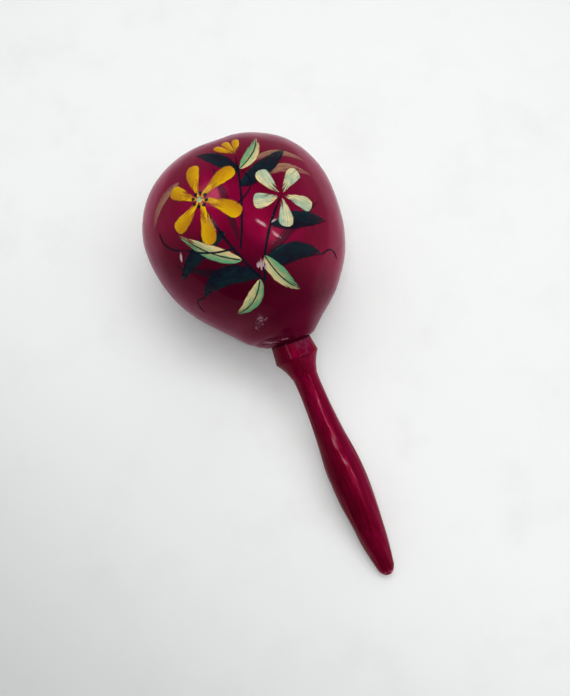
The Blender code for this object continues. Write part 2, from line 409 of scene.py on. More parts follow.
@dataclass(frozen=True)
class GourdLacquer(Finish):
    """Candy lacquer on the gourd: a crimson metallic coat under clear varnish."""

    axis: LyingAxis
    name: str = "gourd_lacquer"
    deep: Colour = (0.194, 0.0018, 0.025)
    bright: Colour = (0.272, 0.0026, 0.044)
    # Painted shade: the dark tone that the lacquer deepens to towards the neck.
    neck: Colour = (0.064, 0.0006, 0.011)
    rim: Colour = (1.0, 0.38, 0.64)
    speck: Colour = (0.42, 0.20, 0.16)
    raw: Colour = (0.40, 0.27, 0.15)
    brush_lay: Stretch = (0.18, 1, 1)
    cloud_size: float = 0.022
    streak_size: float = 0.0032
    grain_size: float = 0.0007
    dust_spacing: float = 0.0085
    dust_patch: float = 0.013
    wave_size: float = 0.006
    brush_mark: float = 0.0016
    smudge_size: float = 0.017
    # Direction and span of the painted shade towards the neck.
    neck_way: Point = (0.84, -0.54)
    neck_fade: Point = (-0.047, -0.020)
    handled_along: Point = (-0.034, -0.012)
    handled_across: Point = (-0.014, 0.002)
    flank_tilt: float = 0.45
    flank_fade: Point = (0.0, 0.009)
    varnish: float = 0.60

    def paint(self, graph: FinishGraph) -> dict[str, Any]:
        """Cloudy colour with painted shade that deepens it towards the neck, under dusty varnish, dull
        where held; a raw inner wall.
        """
        place = graph.place(self.axis)
        lay = graph.place(self.axis, self.brush_lay)
        clouds = graph.noise(place, self.cloud_size, 3.0)
        streaks = graph.noise(lay, self.streak_size, 3.0)
        grain = graph.noise(place, self.grain_size)
        tone = graph.step(clouds * 0.7 + streaks * 0.3 + grain * 0.12, 0.38, 0.74)
        specks = graph.step(graph.spots(place, self.dust_spacing), 0.050, 0.030)
        dust = specks * graph.step(graph.noise(place, self.dust_patch), 0.52, 0.60)
        brushed = graph.noise(lay, self.brush_mark, 1.0)
        waves = graph.noise(place, self.wave_size) + brushed * 0.25 + dust * 0.5
        smudge = graph.step(graph.noise(place, self.smudge_size, 4.0, 0.6), 0.40, 0.72)
        colour = graph.mix(tone, self.deep, self.bright)
        along, across, height = graph.parts(place)
        neck_shade_share = graph.step(along * self.neck_way[0] + across * self.neck_way[1], *self.neck_fade)
        handled = graph.step(along, *self.handled_along) * graph.step(across, *self.handled_across)
        flank = graph.step(across - height * self.flank_tilt, *self.flank_fade)
        dulled = (smudge * 0.10 + neck_shade_share * 0.20 + handled * 0.28) * (1.0 - flank * 0.75)
        # Painted shade: the colour deepens towards the neck.
        colour = graph.mix(neck_shade_share * 0.82, colour, self.neck)
        colour = graph.mix(dust * 0.5, colour, self.speck)
        inner = graph.step(graph.noted("inner"), 0.85, 1.0)
        outer = 1.0 - inner
        return {
            "Base Color": graph.mix(inner, colour, self.raw),
            "Metallic": outer * 0.7,
            "Roughness": 0.40 + smudge * 0.08 + inner * 0.4,
            "Specular IOR Level": 0.0,
            "Specular Tint": (*self.rim, 1.0),
            "Coat Weight": (self.varnish - dulled) * outer,
            "Coat Roughness": 0.05,
            "Coat IOR": 1.29,
            "Normal": graph.bump(waves, 0.0004, 0.22),
        }


@dataclass(frozen=True)
class HandleLacquer(Finish):
    """The same lacquer on wood: streaked along the grain, rubbed and scratched at the collar, with painted
    sheen and painted shade on its sides.
    """

    axis: LyingAxis
    collar: float
    name: str = "handle_lacquer"
    deep: Colour = (0.124, 0.0006, 0.0095)
    bright: Colour = (0.238, 0.0014, 0.034)
    # Painted sheen and painted shade: lit and shaded tones of the lacquer.
    sheen: Colour = (0.268, 0.0026, 0.050)
    shaded: Colour = (0.075, 0.0007, 0.010)
    scuff: Colour = (0.175, 0.020, 0.058)
    rubbed: Colour = (0.160, 0.026, 0.062)
    # Painted shade for the grooves at the foot of the collar's faces and for the seat.
    crease_shade: Colour = (0.020, 0.0005, 0.004)
    tip_fleck: Colour = (0.95, 0.28, 0.46)
    rim: Colour = (0.60, 0.13, 0.36)
    wood: Colour = (0.46, 0.30, 0.16)
    grain_lay: Stretch = (0.06, 1, 1)
    hatch_lay: Stretch = (0.13, 1, 1)
    hair_lay: Stretch = (0.20, 1, 1)
    streak_size: float = 0.0011
    cloud_size: float = 0.012
    patch_size: float = 0.0045
    lump_size: float = 0.0030
    scratch_size: float = 0.0006
    hair_size: float = 0.0009
    top_band: Point = (0.0048, 0.0010)
    top_side: Point = (-0.0045, 0.0015)
    top_waver: float = 0.003
    seat_shade: Point = (0.0012, 0.0003)
    # Spans across the handle of the painted sheen and the painted shade.
    light_side: Point = (0.0005, 0.0065)
    dark_side: Point = (-0.0010, -0.0075)
    tip_band: Point = (0.1205, 0.1232)
    tenon_start: Point = (0.0, -0.0008)
    varnish: float = 0.55

    def paint(self, graph: FinishGraph) -> dict[str, Any]:
        """Grain streaks, painted sheen and painted shade on the two sides, a worn collar with painted shade
        at the foot of its faces and at the seat, pale flecks near the tip, and a tenon of bare wood.
        """
        place = graph.place(self.axis)
        streaks = graph.noise(graph.place(self.axis, self.grain_lay), self.streak_size, 4.0, 0.6)
        scratches = graph.noise(graph.place(self.axis, self.hatch_lay), self.scratch_size, 2.0, 0.6)
        hairs = graph.noise(graph.place(self.axis, self.hair_lay), self.hair_size)
        clouds = graph.noise(place, self.cloud_size, 3.0)
        patches = graph.noise(place, self.patch_size)
        edge = graph.noted("edge")
        face = graph.noted("face")
        along = graph.noted("reach")
        across = graph.parts(place)[1]
        on_collar = graph.step(along, self.collar * 1.3, self.collar * 0.8)
        lumps = graph.noise(place, self.lump_size) * on_collar
        scuffed = on_collar * face * graph.step(scratches + (patches - 0.5) * 0.4, 0.42, 0.58)
        top_edge = graph.step(along + (patches - 0.5) * self.top_waver, *self.top_band)
        top_edge = top_edge * graph.step(scratches, 0.30, 0.55) * graph.step(across, *self.top_side)
        # Painted shade in the gap where the collar meets the gourd.
        seat_shade = graph.step(along, *self.seat_shade)
        tone = graph.step(streaks * 0.35 + clouds * 0.30 + hairs * 0.35, 0.36, 0.69)
        colour = graph.mix(tone, self.deep, self.bright)
        # Painted sheen on one side and painted shade on the other.
        painted_sheen_share = graph.step(across, *self.light_side) * (0.5 - on_collar * 0.35)
        colour = graph.mix(painted_sheen_share, colour, self.sheen)
        colour = graph.mix(graph.step(across, *self.dark_side) * 0.7, colour, self.shaded)
        colour = graph.mix(scuffed * 0.7, colour, self.scuff)
        colour = graph.mix(top_edge * 0.65, colour, self.rubbed)
        # Painted shade at the foot of the collar's faces and at the seat.
        painted_crease_shade = graph.maths("MAXIMUM", edge * graph.step(patches, 0.35, 0.60) * 0.85, seat_shade * 0.9)
        colour = graph.mix(painted_crease_shade, colour, self.crease_shade)
        # Pale flecks near the tip.
        tip_flecks = graph.step(along, *self.tip_band) * graph.step(patches, 0.42, 0.56)
        colour = graph.mix(tip_flecks * 0.6, colour, self.tip_fleck)
        tenon = graph.step(along, *self.tenon_start)
        coated = 1.0 - tenon
        dull = graph.maths("MAXIMUM", scuffed, top_edge)
        return {
            "Base Color": graph.mix(tenon, colour, self.wood),
            "Metallic": (0.55 - dull * 0.4) * coated,
            "Roughness": 0.34 + dull * 0.20 + on_collar * 0.08 + clouds * 0.06 + tenon * 0.3,
            "Specular IOR Level": 0.0,
            "Specular Tint": (*self.rim, 1.0),
            "Coat Weight": (self.varnish - graph.maths("MAXIMUM", dull, on_collar * 0.4) * 0.40) * coated,
            "Coat Roughness": 0.10,
            "Coat IOR": 1.20,
            "Normal": graph.bump(streaks * 0.5 + scratches * on_collar * 0.6 + lumps * 3.0, 0.0004, 0.30),
        }


@dataclass(frozen=True)
class BrushPaint(Finish):
    """Sign paint laid with a loaded brush: two colours in one stroke, hair streaks and a dry tail."""

    name: str
    body: Colour
    load: Colour
    side: float = 0.5
    dryness: float = 0.35
    cover: float = 1.0
    dry_start: bool = False
    hair_lay: Stretch = (0.06, 1.0, 1.0)
    hair_size: float = 0.60
    pool_size: float = 3.5

    def paint(self, graph: FinishGraph) -> dict[str, Any]:
        """Hair streaks along each stroke, a second colour on one side and feathered edges."""
        hairs = graph.layout("hairs")
        sockets = {"Vector": hairs, "Scale": self.hair_lay}
        drawn = graph.shade(graph.node("ShaderNodeMapping", None, sockets))
        along, across, _ = graph.parts(graph.layout("sweep"))
        streaks = graph.noise(drawn, self.hair_size, 4.0, 0.65)
        pools = graph.noise(hairs, self.pool_size)
        edge = 1.0 - abs(across * 2.0 - 1.0)
        loaded = graph.step(across * self.side + streaks * 1.1 + (pools - 0.5) * 0.5, 0.50, 1.0)
        covered = graph.step(edge + (streaks - 0.5) * 0.30, 0.0, 0.20)
        thick = graph.step(streaks + pools * 0.4, 0.48, 0.86)
        spent = 1.0 - along if self.dry_start else along
        tail = graph.step(streaks * 1.7 + pools * 0.3 - spent * self.dryness * 2.4, -0.16, 0.36)
        return {
            "Base Color": graph.mix(loaded, self.body, self.load),
            "Alpha": covered * tail * (self.cover * 0.68 + thick * (self.cover * 0.32)),
            "Roughness": 0.30 + streaks * 0.15,
            "Coat Weight": 0.45,
            "Coat Roughness": 0.05,
            "Coat IOR": 1.26,
            "Specular IOR Level": 0.0,
            "Normal": graph.bump(streaks, 0.0002, 0.35),
        }


@dataclass(frozen=True)
class DriedGlue(Finish):
    """Brown hide glue with dust in it."""

    name: str = "dried_glue"
    clear: Colour = (0.45, 0.26, 0.09)
    dark: Colour = (0.20, 0.09, 0.03)

    def paint(self, graph: FinishGraph) -> dict[str, Any]:
        """Cloudy amber with small bubbles."""
        place = graph.place()
        clouds = graph.noise(place, 0.0030, 3.0)
        bubbles = graph.step(graph.spots(place, 0.0016), 0.30, 0.15)
        return {
            "Base Color": graph.mix(graph.step(clouds, 0.35, 0.65), self.clear, self.dark),
            "Roughness": 0.25 + clouds * 0.2,
            "Normal": graph.bump(clouds + bubbles * 0.4, 0.0003, 0.4),
        }


@dataclass(frozen=True)
class DriedSeed(Finish):
    """Dry brown seed coat with darker mottling."""

    name: str = "dried_seed"
    pale: Colour = (0.30, 0.16, 0.07)
    dark: Colour = (0.10, 0.045, 0.02)

    def paint(self, graph: FinishGraph) -> dict[str, Any]:
        """Mottled brown with fine wrinkles."""
        place = graph.place()
        mottle = graph.noise(place, 0.0022, 4.0, 0.6)
        wrinkles = graph.noise(place, 0.0006, 2.0)
        return {
            "Base Color": graph.mix(graph.step(mottle, 0.38, 0.66), self.pale, self.dark),
            "Roughness": 0.45 + mottle * 0.2,
            "Normal": graph.bump(wrinkles, 0.0002, 0.4),
        }


@dataclass(frozen=True)
class TableTop(Finish):
    """Pale painted table top, faintly marked by use, with painted shade that darkens it on one side."""

    name: str = "table_top"
    pale: Colour = (0.853, 0.868, 0.864)
    worn: Colour = (0.793, 0.805, 0.798)
    # Painted shade: the darker tone towards the viewer's side.
    dull: Colour = (0.505, 0.515, 0.508)
    viewer_side: Point = (0.492, -0.871)
    backdrop: Colour = (0.79, 0.80, 0.795)
    mirrored: Colour = (0.52, 0.525, 0.52)
    fade: Point = (0.235, 0.42)
    falloff_start: Point = (0.0, 0.30)
    falloff_end: Point = (1.2, 0.4)
    cloud_size: float = 0.05

    def paint(self, graph: FinishGraph) -> dict[str, Any]:
        """Nearly even, with faint clouds and a slow fall of painted shade; it ends in the backdrop's plain
        tone.
        """
        place = graph.place()
        x, y, _ = graph.parts(place)
        seen, mirrored = graph.rays()
        far = (seen + mirrored) * graph.step((x * x + y * y) ** 0.5, *self.fade)
        # Painted shade: darker in a band towards the viewer's side, pale again further out.
        distance = x * self.viewer_side[0] + y * self.viewer_side[1]
        painted_falloff = graph.step(distance, *self.falloff_start) * graph.step(distance, *self.falloff_end)
        clouds = graph.noise(place, self.cloud_size, 4.0, 0.6)
        colour = graph.mix(graph.step(clouds, 0.45, 0.85), self.pale, self.worn)
        shown = graph.mix(mirrored, self.backdrop, self.mirrored)
        return {
            "Base Color": graph.mix(far, graph.mix(painted_falloff, colour, self.dull), BLACK),
            "Roughness": 0.6,
            "Specular IOR Level": 0.0,
            "Emission Color": graph.mix(far, BLACK, shown),
            "Emission Strength": 1.0,
        }


@dataclass
class Gourd:
    """The dried gourd: a hollow shell with a rolled lip round its neck hole."""

    axis: LyingAxis
    length: float = 0.1050
    diameter: float = 0.0963
    equator: float = 0.0617
    wall: float = 0.0030
    squareness: float = 2.2
    belly_reach: float = 0.0264
    neck_reach: float = 0.0300
    neck_slope: float = math.radians(50.0)
    lip_round: float = 0.0050
    seat_radius: float = 0.0100
    hole_radius: float = 0.0063
    sway: float = 0.0019
    sway_place: float = 0.0155
    dent_depth: float = 0.0018
    dent_half_width: float = 0.0088
    dent_half_height: float = 0.0240
    dent_offset: float = 0.0036
    lip_roll: float = 0.00045
    lip_folds: tuple[Point, ...] = ((0.0012, -0.4), (0.0026, 1.0), (0.0046, -0.9))
    lip_fold_width: float = 0.0010
    lip_side: float = math.radians(-50.0)
    short_side: float = 0.0013
    short_reach: float = 0.0090
    swell: float = 0.00032
    swell_turns: float = 2.3
    ripple: float = 0.00010
    ripple_turns: float = 7.0
    smooth_neck: Point = (0.0055, 0.0160)
    lip_reach: float = 0.0120
    lip_lump: float = 0.35
    lump_turns: float = 9.0
    segments: int = 192
    outer_steps: int = 56
    inner_steps: int = 20
    lip_steps: int = 8
    neck_crowding: float = 1.5

    def lip_end(self, inset: float) -> Point:
        """Where the neck's cone meets its rounded lip, moved inwards by an inset."""
        turn = math.pi / 2 - self.neck_slope
        x = self.lip_round * (math.cos(turn) - 1) - inset * math.cos(turn)
        return x, self.seat_radius + (self.lip_round - inset) * math.sin(turn)

    def side(self, inset: float, steps: int) -> list[Point]:
        """Work out the side from the blossom end to the start of the lip.

        Args:
            inset: How far the curve lies inside the outer face.
            steps: Number of points on each of its two stretches.

        Returns:
            Points as distance along the axis and radius.
        """
        radius = self.diameter / 2 - inset
        crown = self.length - self.equator - inset
        power = 2 / self.squareness
        points = []
        for step in range(steps + 1):
            angle = math.pi / 2 * step / steps
            along = crown * max(math.cos(angle), 0.0) ** power
            points.append((-self.equator - along, radius * math.sin(angle) ** power))
        fall = (self.neck_reach * math.cos(self.neck_slope), -self.neck_reach * math.sin(self.neck_slope))
        leave, end = (self.belly_reach, 0.0), self.lip_end(inset)
        return points + bezier(points[-1], leave, fall, end, steps, self.neck_crowding)

    def outside(self) -> list[Point]:
        """Work out the outer face, from the blossom end over the lip to the neck hole."""
        points = self.side(0.0, self.outer_steps)
        turn = math.pi / 2 - self.neck_slope
        for step in range(self.lip_steps - 1, -1, -1):
            angle = turn * step / self.lip_steps
            radius = self.seat_radius + self.lip_round * math.sin(angle)
            points.append((self.lip_round * (math.cos(angle) - 1), radius))
        return points + [(0.0, (self.seat_radius + self.hole_radius) / 2), (0.0, self.hole_radius)]

    def inside(self) -> list[Point]:
        """Work out the inner face, from the blossom end to the neck hole."""
        points = self.side(self.wall, self.inner_steps)
        return points + [(points[-1][0], self.hole_radius)]

    def lean(self, x: float) -> float:
        """How far the gourd leans to +Y at a place on its axis."""
        hole_end = -self.lip_end(self.wall)[0]
        from_seat = min(max(-x, hole_end), self.equator)
        if from_seat < self.sway_place:
            share = (from_seat - hole_end) / (self.sway_place - hole_end)
        else:
            share = (self.equator - from_seat) / (self.equator - self.sway_place)
        return self.sway * math.sin(math.pi / 2 * share) ** 2

    def roughen(self, shape: bmesh.types.BMesh) -> None:
        """Give the outer face its natural swellings and roll its lip over on one side."""
        middle = Vector((-self.equator, 0, 0))
        for vertex in shape.verts:
            point = vertex.co
            outward = (point - middle).normalized()
            swollen = self.swell * noise.noise(outward * self.swell_turns)
            swollen += self.ripple * noise.noise(outward * self.ripple_turns)
            vertex.co += outward * swollen * ease(-point.x, *self.smooth_neck)
            radius = math.hypot(point.y, point.z)
            if radius > self.seat_radius and point.x > -self.lip_reach:
                turned = math.atan2(point.y, point.z) - self.lip_side
                lump = 1 + self.lip_lump * noise.noise(outward * self.lump_turns)
                rolled = max(math.cos(turned), 0.0) ** 2 * lump
                folds = 0.0
                for place, height in self.lip_folds:
                    folds += height * hump(point.x + place, self.lip_fold_width)
                vertex.co += outward * self.lip_roll * folds * rolled

    def grow(self, shape: bmesh.types.BMesh) -> None:
        """Give both faces the lean and the short side near the neck and the dent across the blossom end."""
        for vertex in shape.verts:
            x, y, z = vertex.co
            across = ((y - self.dent_offset) / self.dent_half_width) ** 2 + (z / self.dent_half_height) ** 2
            dent = self.dent_depth * math.exp(-across) if x < -self.equator else 0.0
            short = self.short_side * ease(x, -self.short_reach, 0.0)
            short *= ease(-y / self.seat_radius, *SHORT_SIDE_RANGE)
            vertex.co = (x + dent - short, y + self.lean(x), z)

    def build(self) -> bpy.types.Object:
        """Model the shell, lay it down and cut it flat where it rests.

        Returns:
            The shell.
        """
        shape = bmesh.new()
        inner = shape.verts.layers.float.new("inner")
        turn_profile(shape, self.outside(), self.segments)
        self.roughen(shape)
        outer = set(shape.verts)
        turn_profile(shape, self.inside(), self.segments)
        for vertex in set(shape.verts) - outer:
            vertex[inner] = 1.0
        bmesh.ops.bridge_loops(shape, edges=[edge for edge in shape.edges if edge.is_boundary])
        bmesh.ops.recalc_face_normals(shape, faces=shape.faces)
        self.grow(shape)
        self.axis.lay_down(shape)
        cut_off(shape, (0, 0, 0), (0, 0, -1))
        shell = add_piece("gourd", shape, GourdLacquer(self.axis).material(), MAIN_BODY)
        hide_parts("gourd_shell")
        return shell

    def middle(self) -> Vector:
        """The middle of the gourd's widest section."""
        return self.axis.world(Vector((-self.equator, 0, 0)))


@dataclass
class Handle:
    """The turned handle: tenon, cut collar, waist, grip and blunt tip."""

    axis: LyingAxis
    length: float = 0.1237
    face_diameter: float = 0.0194
    flare_diameter: float = 0.0216
    collar: float = 0.0078
    facets: int = 8
    cove_entry: Point = (0.0040, -0.0036)
    cove_reach: float = 0.0060
    waist: Point = (0.0220, 0.0119)
    shank_end: Point = (0.0480, 0.0144)
    grip: Point = (0.0698, 0.0183)
    taper_from_tip: Point = (0.0252, 0.0147)
    shoulder_from_tip: Point = (0.0050, 0.0088)
    shoulder_slope: float = -0.20
    tip_diameter: float = 0.0016
    tenon_diameter: float = 0.0120
    tenon_length: float = 0.0160
    tenon_chamfer: float = 0.0010
    pressed: float = 0.0002
    short_side: float = 0.0013
    facet_slip: float = math.radians(4.0)
    facet_depth: float = 0.00025
    facet_round: float = 0.00080
    facet_extra: float = 0.00100
    facet_shallow: float = 0.00050
    clear_cut: float = 0.00045
    knife_marks: float = 0.00026
    clear_face: float = math.radians(24.0)
    clear_spread: Point = (math.radians(27.0), math.radians(18.0))
    clear_fade: Point = (0.0004, -0.0002)
    crease_spread: Point = (math.radians(30.0), math.radians(16.0))
    crease_width: float = 0.00030
    facet_span: float = 1.2
    mark_length: float = 0.013
    mark_turns: float = 3.6
    end_facet: float = 0.0005
    end_way: Stretch = (1.0, -0.12, 0.10)
    segments: int = 320
    collar_steps: int = 18
    cove_steps: int = 26
    grip_steps: int = 20
    tip_steps: int = 14

    def flare(self, x: float) -> float:
        """Radius of the collar across its corners."""
        slope = (self.flare_diameter - self.face_diameter) / 2 / (self.collar - TOUCH_GAP)
        return self.face_diameter / 2 + slope * (x - TOUCH_GAP)

    def profile(self) -> list[Point]:
        """Work out the whole section, from the tenon's end to the tip."""
        tenon = self.tenon_diameter / 2
        points = [
            (-self.tenon_length, 0.0),
            (-self.tenon_length, tenon - self.tenon_chamfer),
            (-self.tenon_length + self.tenon_chamfer, tenon),
            (-self.pressed, tenon),
        ]
        for step in range(self.collar_steps + 1):
            x = -self.pressed + (self.collar + self.pressed) * step / self.collar_steps
            points.append((x, self.flare(x)))
        waist = (self.waist[0], self.waist[1] / 2)
        points += bezier(points[-1], self.cove_entry, (self.cove_reach, 0.0), waist, self.cove_steps)
        stations = [
            waist,
            (self.shank_end[0], self.shank_end[1] / 2),
            (self.grip[0], self.grip[1] / 2),
            (self.length - self.taper_from_tip[0], self.taper_from_tip[1] / 2),
            (self.length - self.shoulder_from_tip[0], self.shoulder_from_tip[1] / 2),
        ]
        points += smooth_curve(stations, 0.0, self.shoulder_slope, self.grip_steps)
        half = self.shoulder_from_tip[0] / 2
        end = (self.length, self.tip_diameter / 2)
        drop = (end[1] - stations[-1][1]) / 3
        leave = (half, half * self.shoulder_slope)
        points += bezier(stations[-1], leave, (half / 8, drop), end, self.tip_steps)
        return points + [(self.length, 0.0)]

    def flats(self, angle: float, x: float) -> list[float]:
        """Distances at which a ray from the axis leaves each cut face of the collar, nearest first."""
        pitch = 2 * math.pi / self.facets
        reaches = []
        for index in range(self.facets):
            slip = self.facet_slip * noise.noise((index * 1.7, 0.3, 0.0))
            depth = self.facet_depth * noise.noise((index * 2.3, 5.1, 0.0))
            depth += (-self.facet_shallow if index else self.clear_cut) - self.facet_extra
            off = math.remainder(angle - pitch * (index + 0.5) - slip, 2 * math.pi)
            if abs(off) < pitch * self.facet_span:
                reaches.append((self.flare(x) * math.cos(pitch / 2) - depth) / math.cos(off))
        return sorted(reaches)

    def soft_least(self, reaches: list[float]) -> float:
        """The least of some distances, with rounded changes between them."""
        least = min(reaches)
        shares = [math.exp((least - reach) / self.facet_round) for reach in reaches]
        return least - self.facet_round * math.log(sum(shares))

    def carve(self, shape: bmesh.types.BMesh) -> None:
        """Cut the collar's faces and slight knife marks on the grip, and note places for the lacquer."""
        edge = shape.verts.layers.float.new("edge")
        face = shape.verts.layers.float.new("face")
        reach = shape.verts.layers.float.new("reach")
        for vertex in shape.verts:
            x, y, z = vertex.co
            vertex[reach] = x
            radius = math.hypot(y, z)
            if x < -self.pressed * 1.5 or radius < self.tenon_diameter / 4:
                continue
            angle = math.atan2(y, z)
            carved = radius
            off = abs(math.remainder(angle - self.clear_face, 2 * math.pi))
            if x < self.waist[0] and radius > self.tenon_diameter / 2 + TOUCH_GAP:
                flats = self.flats(angle, x)
                turned = radius + self.facet_extra / 2
                cut = flats[0] - turned
                vertex[face] = ease(off, *self.clear_spread) * ease(cut, *self.clear_fade)
                # The edge layer marks painted shade in the groove at the foot of each face.
                lower_end = hump(cut, self.crease_width) * ease(x, self.collar * 0.6, self.collar)
                vertex[edge] = lower_end * ease(off, *self.crease_spread)
                blend = ease(x, self.waist[0], self.collar * 1.4)
                carved = radius + (self.soft_least([*flats, turned]) - radius) * blend
            around = self.mark_turns * math.cos(angle), self.mark_turns * math.sin(angle)
            mark = noise.noise((x / self.mark_length, *around))
            carved += self.knife_marks * mark * ease(x, self.collar, self.waist[0])
            short = self.short_side * ease(x, self.collar, 0.0)
            short *= ease(-y / self.face_diameter * 2, *SHORT_SIDE_RANGE)
            vertex.co = (x - short, y * carved / radius, z * carved / radius)

    def build(self) -> bpy.types.Object:
        """Model the handle and lay it down.

        Returns:
            The handle.
        """
        shape = bmesh.new()
        turn_profile(shape, self.profile(), self.segments)
        bmesh.ops.recalc_face_normals(shape, faces=shape.faces)
        self.carve(shape)
        cut_off(shape, (self.length - self.end_facet, 0, 0), self.end_way)
        self.axis.lay_down(shape)
        lacquer = HandleLacquer(self.axis, self.collar).material()
        handle = add_piece("turned_handle", shape, lacquer, MAIN_BODY)
        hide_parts("handle")
        return handle


class StrokeShape(Enum):
    """How wide a brush stroke is along its length, as a share of its full width."""

    PETAL = "petal"
    LEAF = "leaf"
    LINER = "liner"
    DOT = "dot"

    def width(self, t: float) -> float:
        """Share of the full width at a share of the length."""
        if self is StrokeShape.PETAL:
            return t ** 0.75 * math.sqrt(max(1 - t ** 6, 0.0))
        if self is StrokeShape.LEAF:
            return max(math.sin(math.pi * t ** 0.8), 0.0) ** 0.8
        if self is StrokeShape.DOT:
            return math.sqrt(max(1 - (2 * t - 1) ** 2, 0.0))
        return min(1.0, 14 * t, 6 * (1 - t)) ** 0.5


@dataclass(frozen=True)
class Stroke:
    """One stroke of the brush, in millimetres over the gourd's painted side."""

    start: Point
    bend: Point
    end: Point
    width: float
    shape: StrokeShape

    def middle(self, t: float) -> tuple[Vector, Vector]:
        """The stroke's middle line and its direction at a share of its length."""
        start, bend, end = Vector(self.start), Vector(self.bend), Vector(self.end)
        point = (1 - t) ** 2 * start + 2 * t * (1 - t) * bend + t * t * end
        direction = 2 * (1 - t) * (bend - start) + 2 * t * (end - bend)
        return point, direction.normalized()


@dataclass
class PaintedSide:
    """The gourd's painted side, measured over its surface from its middle, with the handle below."""

    gourd: Gourd
    facing: Vector
    walls: BVHTree

    def surface(self, spot: Vector, height: float) -> Vector:
        """Find a place above the painted side.

        Args:
            spot: Distances to the right and up, over the surface.
            height: How far above the surface.

        Returns:
            The place.
        """
        handle_way = self.gourd.axis.turn.col[0]
        right = self.facing.cross(handle_way).normalized()
        up = self.facing.cross(right)
        angle = spot.length / (self.gourd.diameter / 2)
        outward = self.facing.copy()
        if spot.length > 0:
            away = (right * spot.x + up * spot.y).normalized()
            outward = self.facing * math.cos(angle) + away * math.sin(angle)
        middle = self.gourd.middle()
        return self.walls.ray_cast(middle + outward * self.gourd.length, -outward)[0] + outward * height


@dataclass
class PaintLayer:
    """Strokes of one paint, made as one thin film on the gourd."""

    name: str
    paint: BrushPaint
    level: int
    strokes: list[Stroke] = field(default_factory=list)
    film: float = 0.00004
    sunk: float = 0.00008
    rows: int = 36
    columns: int = 8
    thinnest: float = 0.06
    heights: int = 6
    height_step: float = 0.000005
    wobble: float = 0.10
    wobble_pitch: float = 0.35
    hair_shift: Point = (13.7, 5.3)

    def lay(self, shape: bmesh.types.BMesh, side: PaintedSide, stroke: Stroke, index: int) -> None:
        """Lay one stroke on the painted side.

        Args:
            shape: Mesh that takes the stroke.
            side: The painted side.
            stroke: The stroke.
            index: Its number in the layer, which varies its hair streaks and its height.
        """
        grid = bmesh.ops.create_grid(shape, x_segments=self.rows, y_segments=self.columns, size=0.5)
        hairs = shape.loops.layers.uv["hairs"]
        sweep = shape.loops.layers.uv["sweep"]
        height = self.film * self.level + self.height_step * (index % self.heights)
        length = (Vector(stroke.end) - Vector(stroke.start)).length
        shares = {}
        for vertex in grid["verts"]:
            t, s = vertex.co.x + 0.5, vertex.co.y * 2
            half = max(stroke.width * stroke.shape.width(t), self.thinnest) / 2
            point, direction = stroke.middle(t)
            wobble = 1 + self.wobble * noise.noise((*(point * self.wobble_pitch), index + s))
            offset = Vector((-direction.y, direction.x)) * s * half * wobble
            shift = Vector(self.hair_shift) * index
            shares[vertex] = (t, (s + 1) / 2, t * length + shift.x, s * half + shift.y)
            vertex.co = side.surface((point + offset) * MM, height)
        faces = {face for vertex in grid["verts"] for face in vertex.link_faces}
        for face in faces:
            for loop in face.loops:
                t, s, along, across = shares[loop.vert]
                loop[sweep].uv = (t, s)
                loop[hairs].uv = (along, across)
        bmesh.ops.solidify(shape, geom=list(faces), thickness=height + self.sunk)

    def build(self, side: PaintedSide) -> bpy.types.Object:
        """Make the film.

        Args:
            side: The painted side.

        Returns:
            The film.
        """
        shape = bmesh.new()
        for name in ("hairs", "sweep"):
            shape.loops.layers.uv.new(name)
        for index, stroke in enumerate(self.strokes):
            self.lay(shape, side, stroke, index)
        bmesh.ops.recalc_face_normals(shape, faces=shape.faces)
        film = add_piece(self.name, shape, self.paint.material(), MAIN_BODY)
        return film


def polar(middle: Point, reach: float, degrees: float) -> Point:
    """A point at a distance and a direction from another."""
    angle = math.radians(degrees)
    return middle[0] + reach * math.cos(angle), middle[1] + reach * math.sin(angle)


